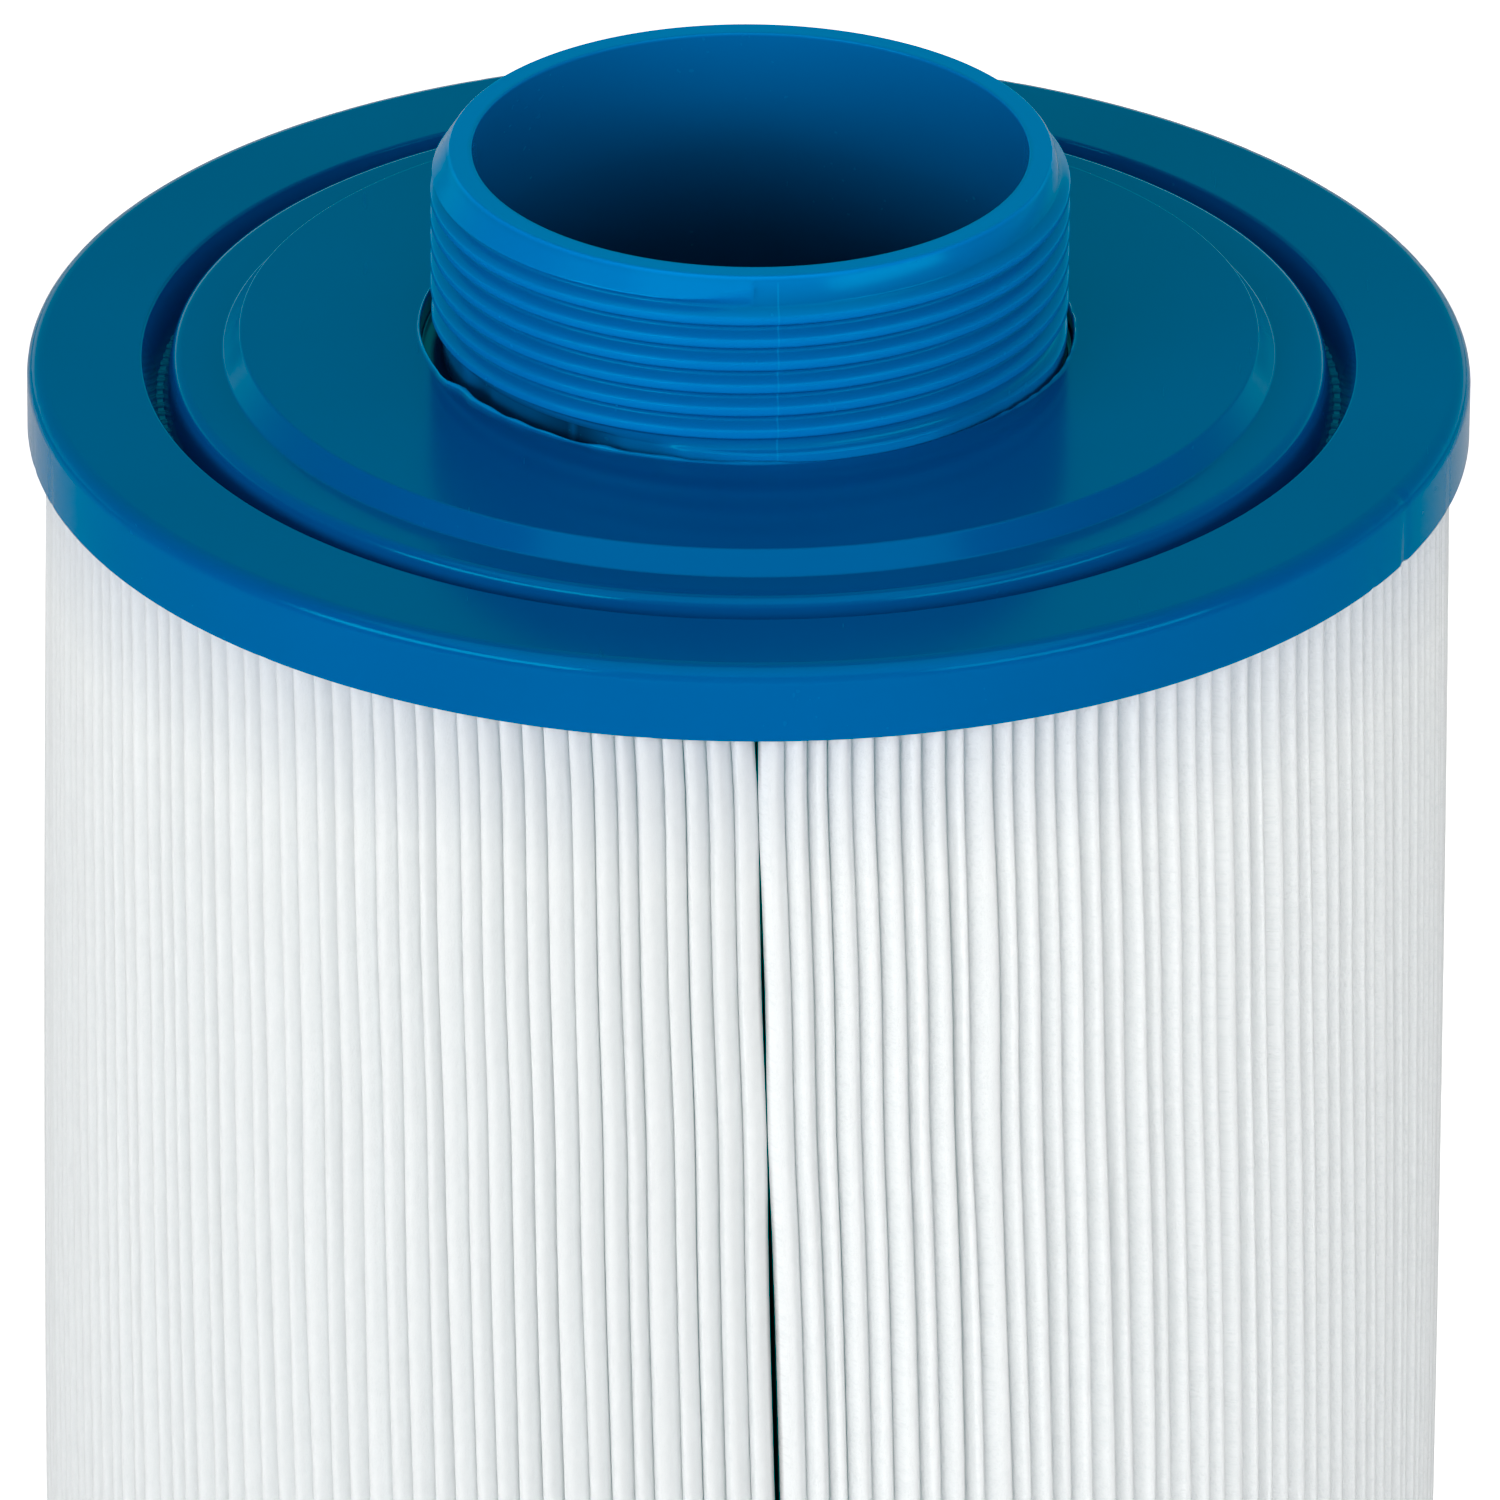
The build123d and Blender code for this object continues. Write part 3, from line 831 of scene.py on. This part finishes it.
def camera():
    """Long lens above and in front, aimed at the upper part of the cartridge."""
    distance = 2.0                       # m from the middle of the nozzle end's ring
    elevation = math.radians(25.28)
    aim_down = math.radians(1.065)       # further down than straight at the ring
    aim_right = math.radians(0.011)
    roll = math.radians(0.45)
    data = bpy.data.cameras.new("camera")
    data.sensor_width = 36.0
    data.lens = 513.2
    data.clip_start = 0.05
    data.clip_end = 100.0
    obj = bpy.data.objects.new("camera", data)
    ring_centre = Vector((0.0, 0.0, RING_Z * MM))
    back = Vector((0.0, -math.cos(elevation), math.sin(elevation)))
    obj.location = ring_centre + back * distance
    down = elevation + aim_down
    look = Vector((math.sin(aim_right), math.cos(down), -math.sin(down)))
    rolled = Matrix.Rotation(roll, 3, "Z").to_quaternion()
    obj.rotation_mode = "QUATERNION"
    obj.rotation_quaternion = look.to_track_quat("-Z", "Y") @ rolled
    bpy.context.scene.collection.objects.link(obj)
    bpy.context.scene.camera = obj


def view_settings():
    """Plain display colours, with a red curve that keeps reflections' weak red out of the blues."""
    view = bpy.context.scene.view_settings
    view.view_transform = "Standard"
    view.use_curve_mapping = True
    red = view.curve_mapping.curves[0].points
    red[0].location = (0.085, 0.0)          # (red in, red out)
    for place in ((0.20, 0.145), (0.34, 0.315), (0.55, 0.55), (0.80, 0.80)):
        red.new(*place)
    view.curve_mapping.update()


nozzle_end_cap()
closed_end_cap()
threaded_nozzle()
pleated_media()
for node, material in (("centre_core", CORE_WHITE), ("media_seam_bead", GLUE)):
    materials = frame["nodes"][node].data.materials
    materials.clear()
    materials.append(material)

stage()
world()
softbox("left_box", -138, 20, 1.6, 1.3, 0.4, 9.5)
softbox("right_box", -38, 20, 1.6, 1.3, 0.4, 5.6)
softbox("front_fill", -92, 14, 2.4, 2.4, 1.5, 26.0, mirrored=False)
softbox("back_fill", 84, 5, 2.4, 2.4, 1.4, 16.0, mirrored=False)
softbox("overhead_card", -90, 66, 2.0, 3.0, 2.6, 32.0, lighting=False)
camera()
view_settings()
